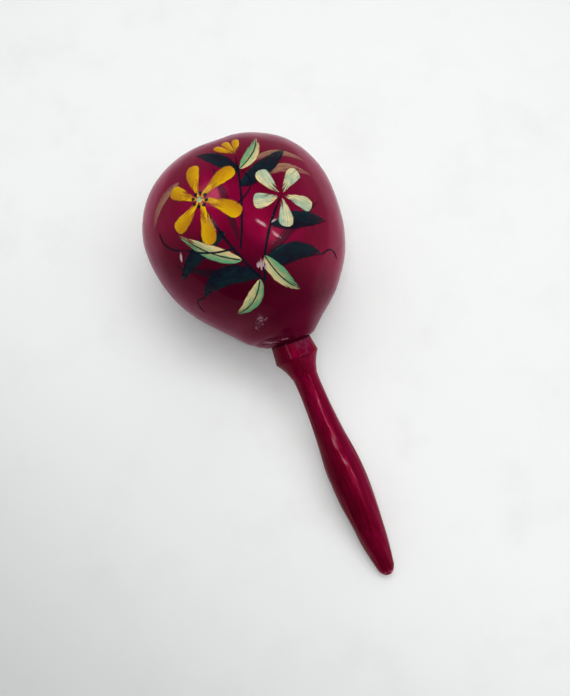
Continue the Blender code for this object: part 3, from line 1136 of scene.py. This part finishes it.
@dataclass
class FlowerSpray:
    """The painted spray of leaves and blossoms, with pale marks, painted highlights, painted sheen and
    painted shade on the varnish, in millimetres.
    """

    side: PaintedSide
    navy: Colour = (0.0045, 0.006, 0.014)
    teal: Colour = (0.005, 0.017, 0.023)
    mint: Colour = (0.33, 0.46, 0.33)
    emerald: Colour = (0.10, 0.29, 0.14)
    cream: Colour = (0.72, 0.56, 0.27)
    yellow: Colour = (0.68, 0.385, 0.004)
    amber: Colour = (0.42, 0.175, 0.006)
    ochre: Colour = (0.34, 0.115, 0.014)
    blush: Colour = (0.42, 0.20, 0.17)
    # Pale colour of the marks on the varnish.
    bare: Colour = (0.60, 0.46, 0.52)
    highlight_haze: Colour = (0.30, 0.12, 0.17)
    shade_maroon: Colour = (0.028, 0.0006, 0.006)
    gold: Point = (-13.0, 12.0)
    pale: Point = (22.0, 0.0)
    bud: Point = (10.0, 27.0)
    foot: Point = (0.0, -33.0)
    petal_start: float = 1.4
    petal_bend: Point = (0.6, 9.0)
    petal_sway: float = 5.0
    petal_vary: float = 0.10
    dot_turn: float = 17.0

    def strokes(self, shape: StrokeShape, rows: list[tuple[float, ...]]) -> list[Stroke]:
        """Strokes of one shape, from rows of start, bend, end and width."""
        return [Stroke(row[0:2], row[2:4], row[4:6], row[6], shape) for row in rows]

    def petals(self, middle: Point, count: int, reach: float, width: float, turn: float) -> list[Stroke]:
        """Strokes of a blossom's petals, from its middle out.

        Args:
            middle: Middle of the blossom.
            count: Number of petals.
            reach: Length of a petal.
            width: Width of a petal.
            turn: Direction of the first petal, in degrees.

        Returns:
            The strokes.
        """
        strokes = []
        for index in range(count):
            angle = turn + 360 * index / count + self.petal_sway * math.sin(index * GOLDEN_TURN)
            long = reach * (1 + self.petal_vary * math.cos(index * GOLDEN_TURN * 2))
            start, end = polar(middle, self.petal_start, angle), polar(middle, long, angle)
            bend = polar(middle, long * self.petal_bend[0], angle + self.petal_bend[1])
            strokes.append(Stroke(start, bend, end, width, StrokeShape.PETAL))
        return strokes

    def dots(self, middle: Point, count: int, reach: float, width: float) -> list[Stroke]:
        """A ring of round dots."""
        strokes = []
        for index in range(count):
            spot = polar(middle, reach, 360 * index / count + self.dot_turn)
            ends = spot[0] - width / 2, spot[0] + width / 2
            strokes.append(Stroke((ends[0], spot[1]), spot, (ends[1], spot[1]), width, StrokeShape.DOT))
        return strokes

    def layers(self) -> list[PaintLayer]:
        """Work out every layer of paint, the lowest first.

        Returns:
            The layers.
        """
        navy = BrushPaint("navy_paint", self.navy, self.teal, side=0.4, dryness=0.36)
        mint = BrushPaint("mint_paint", self.mint, self.cream, side=0.25, dryness=0.45, dry_start=True)
        cream = BrushPaint("cream_paint", self.cream, self.emerald, side=0.45, dryness=0.45)
        yellow = BrushPaint("yellow_paint", self.yellow, self.amber, side=0.42, dryness=0.5, dry_start=True)
        ochre = BrushPaint("ochre_paint", self.ochre, self.yellow, side=0.4, dryness=0.5)
        # Pale marks on the varnish.
        pale_mark_brush = BrushPaint("pale_mark_paint", self.bare, self.blush, side=0.2, dryness=0.55, cover=0.75)
        # Painted highlight on the lip's rolled bead.
        dulled = BrushPaint("lip_highlight_paint", self.highlight_haze, self.highlight_haze, side=0.3, dryness=0.20, cover=0.62)
        # Painted sheen: a faint pale veil near the lip.
        neck_sheen = BrushPaint("neck_sheen_paint", self.highlight_haze, self.highlight_haze, side=0.3, dryness=0.45, cover=0.14)
        # Painted shade in the lip's grooves.
        crease_shade_brush = BrushPaint("crease_shade_paint", self.shade_maroon, self.shade_maroon, side=0.3, dryness=0.25, cover=0.38)
        black = BrushPaint("liner_paint", self.navy, self.navy, side=0.0, dryness=0.05)
        veil = BrushPaint("veil_paint", self.blush, self.cream, side=0.4, dryness=0.40, cover=0.28)
        shadow = BrushPaint("shadow_paint", self.navy, self.teal, side=0.3, dryness=0.30, cover=0.50)
        gold = self.gold
        stems = self.strokes(StrokeShape.LINER, [
            (*self.foot, -10, -14, *self.gold, 1.3),
            (*self.foot, 4, -16, *self.pale, 1.3),
            (-5, -16, 6, 4, *self.bud, 1.1),
            (-6, -14, -18, -14, -31, -5, 1.0),
        ])
        leaves = self.strokes(StrokeShape.LEAF, [
            (-1, -30, -18, -18, -32, -31, 10.0),
            (1, -28, 18, -20, 31, -33, 10.0),
            (12, -11, 27, -12, 41, -19, 9.0),
            (-8, -6, -26, -8, -40, -19, 8.5),
            (6, 10, 20, 14, 36, 24, 9.0),
            (8, 16, 2, 30, -8, 38, 8.0),
        ])
        sprigs = self.strokes(StrokeShape.LEAF, [
            (-2, -31, -8, -42, -20, -44, 7.5),
            (4, -22, 6, -34, 14, -43, 7.5),
            (-6, -20, -18, -14, -30, 2, 7.0),
            (9, 18, 20, 24, 25, 36, 7.0),
        ])
        veils = self.strokes(StrokeShape.LEAF, [
            (14, 12, 30, 16, 44, 6, 5.5),
            (16, 20, 32, 26, 45, 14, 5.0),
            (-20, 26, -34, 26, -44, 12, 5.5),
        ])
        shadows = self.strokes(StrokeShape.LEAF, [
            (-2, -27, -20, -24, -40, -10, 4.5),
            (2, -25, 20, -14, 42, -8, 4.5),
            (-4, -12, -2, 6, -2, 26, 4.0),
        ])
        buds = self.strokes(StrokeShape.PETAL, [
            (*self.bud, *polar(self.bud, 7, 98 + turn), *polar(self.bud, 13, 98 + turn * 0.8), 6.0)
            for turn in (-34, 34, 0)
        ])
        shading = self.strokes(StrokeShape.LEAF, [
            (*polar(gold, 1.0, angle), *polar(gold, 7, angle + 12), *polar(gold, 12, angle), 3.0)
            for angle in range(20, 380, 60)
        ])
        tendrils = self.strokes(StrokeShape.LINER, [
            (31, -33, 40, -30, 41, -40, 0.7),
            (-31, -5, -42, -2, -41, 9, 0.8),
            (1, 3, 16, 8, 9, 17, 0.7),
            (-32, -31, -42, -30, -38, -40, 0.7),
        ])
        # Pale marks on the varnish.
        worn = self.strokes(StrokeShape.LEAF, [
            (-0.8, -26.0, -0.2, -24.4, 0.6, -22.6, 1.5),
            (0.3, -27.4, 1.0, -24.6, 2.2, -21.4, 1.3),
            (1.5, -26.4, 2.0, -25.0, 3.2, -22.0, 1.0),
            (2.0, -27.8, 2.6, -26.8, 3.4, -24.8, 1.3),
            (12.4, -10.0, 13.8, -9.2, 16.0, -9.4, 1.0),
            (-34.0, -10.0, -33.4, -7.4, -31.6, -4.6, 1.4),
        ])
        # Painted highlights on the lip's rolled bead.
        lip_highlights = self.strokes(StrokeShape.LEAF, [
            (-11.4, -49.9, -9.6, -49.2, -7.8, -49.8, 1.3),
            (-6.9, -50.6, -6.4, -50.4, -5.8, -50.7, 0.9),
            (-13.4, -53.6, -14.2, -54.4, -13.6, -55.4, 0.9),
            (-7.9, -51.3, -7.5, -51.1, -7.0, -51.3, 1.0),
            (-10.8, -51.2, -9.8, -50.6, -8.6, -50.9, 1.1),
            (-14.8, -64.6, -11.0, -64.3, -5.0, -65.0, 1.3),
            (-4.4, -63.9, -2.6, -63.9, 0.4, -64.0, 0.9),
        ])
        # Painted sheen near the lip.
        sheen_strokes = self.strokes(StrokeShape.LEAF, [
            (-10.4, -54.0, -10.0, -50.0, -8.4, -46.0, 4.5),
            (-13.0, -56.0, -12.6, -53.0, -11.4, -50.0, 3.0),
        ])
        # Painted shade in the lip's grooves.
        crease_shade_strokes = self.strokes(StrokeShape.LEAF, [
            (-15.4, -63.2, -10.0, -62.6, -2.0, -62.4, 0.9),
            (-15.0, -65.9, -11.0, -65.8, -4.0, -66.3, 0.9),
        ])
        veins = self.strokes(StrokeShape.LINER, [
            (*sprig.start, *sprig.bend, *sprig.middle(0.85)[0], 0.6) for sprig in sprigs
        ])
        return [
            PaintLayer("painted_veils", veil, 1, veils),
            PaintLayer("painted_shadows", shadow, 1, shadows),
            PaintLayer("painted_leaves", navy, 2, leaves),
            PaintLayer("painted_stems", black, 3, stems),
            PaintLayer("painted_sprigs", cream, 3, sprigs),
            PaintLayer("painted_pale_blossom", mint, 4, self.petals(self.pale, 5, 15.0, 10.5, 34)),
            PaintLayer("painted_gold_blossom", yellow, 4, self.petals(self.gold, 6, 19.0, 10.5, 20) + buds),
            PaintLayer("painted_petal_shading", ochre, 5, shading),
            PaintLayer("painted_linework", black, 6, tendrils + veins + self.dots(self.gold, 8, 3.2, 1.8)),
            # Painted shade in the lip's grooves.
            PaintLayer("lip_crease_shade", crease_shade_brush, 1, crease_shade_strokes),
            # Painted sheen near the lip.
            PaintLayer("neck_painted_sheen", neck_sheen, 1, sheen_strokes),
            # Painted highlights on the lip.
            PaintLayer("lip_painted_highlights", dulled, 2, lip_highlights),
            # Pale marks on the varnish.
            PaintLayer("pale_marks", pale_mark_brush, 7, worn),
            PaintLayer("painted_dots", cream, 6, self.dots(self.gold, 1, 0.0, 3.0)),
        ]

    def build(self) -> None:
        """Lay every film."""
        for layer in self.layers():
            layer.build(self.side)


@dataclass
class Seeds:
    """Loose dried seeds, each a little flat, with a pit and fine wrinkles."""

    diameter: float = 0.0064
    thickness: float = 0.0060
    pit_depth: float = 0.0004
    pit_width: float = 0.0010
    wrinkle: float = 0.00005
    wrinkle_turns: float = 4.0
    rings: int = 20
    segments: int = 28

    def build(self, nodes: dict[str, bpy.types.Object]) -> None:
        """Model a seed in the place of each plain one.

        Args:
            nodes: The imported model's nodes, by name.
        """
        material = DriedSeed().material()
        names = sorted(name for name in nodes if name.startswith("seed_"))
        for index, name in enumerate(names, start=1):
            low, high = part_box(name)
            shape = bmesh.new()
            bmesh.ops.create_uvsphere(
                shape, u_segments=self.segments, v_segments=self.rings, radius=self.diameter / 2
            )
            bmesh.ops.scale(shape, vec=(1, 1, self.thickness / self.diameter), verts=shape.verts)
            for vertex in shape.verts:
                around = vertex.co.normalized()
                dip = self.pit_depth * hump(vertex.co.xy.length, self.pit_width) if vertex.co.z > 0 else 0.0
                wrinkles = noise.noise(around * self.wrinkle_turns + Vector((index, 0, 0)))
                vertex.co += around * self.wrinkle * wrinkles
                vertex.co.z -= dip
            angle = index * GOLDEN_TURN
            turn = Matrix.Rotation(angle / 2, 3, "Y") @ Matrix.Rotation(angle, 3, "X")
            bmesh.ops.rotate(shape, cent=(0, 0, 0), matrix=turn, verts=shape.verts)
            bmesh.ops.translate(shape, vec=(low + high) / 2, verts=shape.verts)
            seed = add_piece(f"dried_{name}", shape, material, name)
            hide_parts(name)


@dataclass
class PhotoView:
    """The camera: almost straight down, with the handle pointing down and right."""

    azimuth: float = math.radians(66.315)
    elevation: float = math.radians(74.405)
    distance: float = 0.42892
    target: Vector = field(default_factory=lambda: Vector((-0.00545, -0.00463, 0.040)))
    focal_pixels: float = 890.0
    frame_height: float = 696.0
    sensor: float = 36.0

    def back(self) -> Vector:
        """Direction from the object to the camera."""
        level = math.cos(self.elevation)
        across, along = math.sin(self.azimuth), -math.cos(self.azimuth)
        return Vector((across * level, along * level, math.sin(self.elevation)))

    def right(self) -> Vector:
        """Direction to the right of the picture."""
        return Vector((math.cos(self.azimuth), math.sin(self.azimuth), 0.0))

    def up(self) -> Vector:
        """Direction to the top of the picture."""
        return self.back().cross(self.right())

    def direction(self, towards: float, lean: float) -> Vector:
        """Find a direction that leans away from the camera's axis.

        Args:
            towards: Direction in the picture, in degrees from its right side, anticlockwise.
            lean: Angle from the camera's axis, in degrees.

        Returns:
            The direction, away from the object.
        """
        turn, tip = math.radians(towards), math.radians(lean)
        across = self.right() * math.cos(turn) + self.up() * math.sin(turn)
        return self.back() * math.cos(tip) + across * math.sin(tip)

    def build(self) -> None:
        """Set up the camera."""
        data = bpy.data.cameras.new("photo_view")
        data.sensor_width = self.sensor
        data.lens = self.sensor * self.focal_pixels / self.frame_height
        camera = bpy.data.objects.new("photo_view", data)
        camera.location = self.target + self.back() * self.distance
        camera.rotation_mode = "QUATERNION"
        camera.rotation_quaternion = (-self.back()).to_track_quat("-Z", "Y")
        bpy.context.scene.collection.objects.link(camera)
        bpy.context.scene.camera = camera


def add_stage(name: str, shape: bmesh.types.BMesh, finish: Finish) -> bpy.types.Object:
    """Make an object that isn't part of the maraca.

    Args:
        name: Name of the object.
        shape: Mesh in world space, freed here.
        finish: Its finish.

    Returns:
        The object.
    """
    thing = add_object(name, shape, finish.material())
    return thing


@dataclass(frozen=True)
class Fitting:
    """Something hung by its direction in the picture and its angle from the camera's axis."""

    name: str
    towards: float
    lean: float
    distance: float

    def hung(self, view: PhotoView) -> Matrix:
        """Work out where it hangs, facing the object.

        Args:
            view: The camera.

        Returns:
            Its place and turn in the world.
        """
        away = view.direction(self.towards, self.lean)
        turn = away.to_track_quat("Z", "Y").to_matrix().to_4x4()
        return Matrix.Translation(view.target + away * self.distance) @ turn


@dataclass(frozen=True)
class SoftLamp(Fitting):
    """A soft square lamp."""

    size: float
    power: float

    def build(self, view: PhotoView) -> None:
        """Hang the lamp and aim it; it gives light, and the cards show in the lacquer instead of it."""
        data = bpy.data.lights.new(self.name, "AREA")
        data.size = self.size
        data.energy = self.power
        lamp = bpy.data.objects.new(self.name, data)
        lamp.matrix_world = self.hung(view)
        lamp.visible_glossy = False
        lamp.visible_camera = False
        bpy.context.scene.collection.objects.link(lamp)


@dataclass(frozen=True)
class CardFace(Finish):
    """Black or glowing cloth that thins out towards its edges."""

    name: str
    glow: float
    cover: float
    black: Colour = (0.02, 0.018, 0.02)

    def paint(self, graph: FinishGraph) -> dict[str, Any]:
        """One tone, fading out over the outer part of the cloth."""
        across, along, _ = graph.parts(graph.layout("UVMap"))
        edges = [graph.step(1.0 - abs(part * 2.0 - 1.0), 0.0, 0.80) for part in (across, along)]
        return {
            "Base Color": (*self.black, 1.0),
            "Roughness": 0.9,
            "Specular IOR Level": 0.0,
            "Emission Color": (*WHITE, 1.0),
            "Emission Strength": self.glow,
            "Alpha": edges[0] * edges[1] * self.cover,
        }


@dataclass(frozen=True)
class Card(Fitting):
    """A dark or glowing card that shows only in the lacquer."""

    size: Point
    glow: float = 0.0
    cover: float = 0.92

    def build(self, view: PhotoView) -> None:
        """Hang the card."""
        shape = bmesh.new()
        shape.loops.layers.uv.new("UVMap")
        bmesh.ops.create_grid(shape, x_segments=1, y_segments=1, size=0.5, calc_uvs=True)
        bmesh.ops.scale(shape, vec=(*self.size, 1.0), verts=shape.verts)
        bmesh.ops.transform(shape, matrix=self.hung(view), verts=shape.verts)
        card = add_stage(self.name, shape, CardFace(f"{self.name}_face", self.glow, self.cover))
        card.visible_camera = False
        card.visible_diffuse = False
        card.visible_shadow = False


@dataclass
class Studio:
    """A pale table top, soft lamps, cards for the lacquer to mirror and a room with pale walls."""

    view: PhotoView
    table_size: float = 40.0
    table_drop: float = 0.0003
    overhead: float = 0.02
    walls: float = 1.0
    lit_fade: Point = (0.05, 0.75)
    shown_fade: Point = (0.0, 0.95)
    lamps: tuple[SoftLamp, ...] = (
        SoftLamp("top_light", 90.0, 0.0, 1.0, 0.3, 2.8),
        SoftLamp("high_window", 86.0, 25.0, 0.9, 0.4, 1.9),
        SoftLamp("low_window", 86.0, 50.0, 0.9, 0.7, 1.9),
        SoftLamp("right_light", 25.0, 33.0, 1.0, 0.6, 2.4),
        SoftLamp("left_light", 135.0, 40.0, 1.0, 0.6, 1.4),
    )
    cards: tuple[Card, ...] = (
        Card("dark_card", 252.0, 76.0, 0.50, (1.5, 1.0)),
        Card("ceiling_card", 358.0, 33.0, 1.0, (0.7, 0.5), glow=1.6),
        Card("skylight_card", 2.2, 34.4, 0.85, (0.07, 0.19), glow=38.0),
        Card("streak_card", 24.0, 20.5, 0.85, (0.07, 0.18), glow=44.0),
        Card("window_card", 136.0, 45.0, 1.0, (0.6, 0.8), glow=5.0),
        Card("pane_card", 180.0, 33.0, 0.85, (0.20, 0.14), glow=10.0),
    )

    def build_table(self) -> None:
        """Make the table top."""
        shape = bmesh.new()
        bmesh.ops.create_grid(shape, x_segments=4, y_segments=4, size=self.table_size / 2)
        bmesh.ops.translate(shape, vec=(0, 0, -self.table_drop), verts=shape.verts)
        add_stage("table_top", shape, TableTop())

    def build_room(self) -> None:
        """Light the room: pale walls and a dim ceiling; camera and lacquer see the backdrop's tone."""
        world = bpy.data.worlds.new("room")
        world.use_nodes = True
        graph = FinishGraph(world.node_tree)
        height = graph.parts(graph.shade(graph.node("ShaderNodeTexCoord"), "Generated"))[2]
        seen, mirrored = graph.rays()
        given = self.walls + graph.step(height, *self.lit_fade) * (self.overhead - self.walls)
        shown = 1.0 - mirrored * graph.step(height, *self.shown_fade) * (1.0 - self.overhead)
        colour = graph.mix(seen, WHITE, TableTop.backdrop)
        colour = graph.mix(mirrored, colour, TableTop.mirrored)
        strength = given * (1.0 - seen - mirrored) + shown * (seen + mirrored)
        background = world.node_tree.nodes["Background"]
        graph.feed(background.inputs["Color"], colour)
        graph.feed(background.inputs["Strength"], strength)
        bpy.context.scene.world = world

    def build(self) -> None:
        """Set up the table, the room, the lamps and the cards."""
        self.build_table()
        self.build_room()
        for fitting in (*self.lamps, *self.cards):
            fitting.build(self.view)
        bpy.context.scene.view_settings.view_transform = "Standard"


def main() -> None:
    """Build the maraca's pieces in order, then the studio."""
    logging.basicConfig(level=logging.INFO, format="%(name)s: %(message)s")
    view = PhotoView()
    axis = LyingAxis.of_handle(frame["nodes"]["handle"], Handle.length)
    gourd = Gourd(axis)
    shell = gourd.build()
    Handle(axis).build()
    bead = frame["nodes"]["glue_bead"]
    bead.data.materials.clear()
    bead.data.materials.append(DriedGlue().material())
    LOG.info("glue_bead: kept, dressed")
    walls = BVHTree.FromObject(shell, bpy.context.evaluated_depsgraph_get())
    FlowerSpray(PaintedSide(gourd, view.back(), walls)).build()
    Seeds().build(frame["nodes"])
    view.build()
    Studio(view).build()


if __name__ == "__main__":
    main()
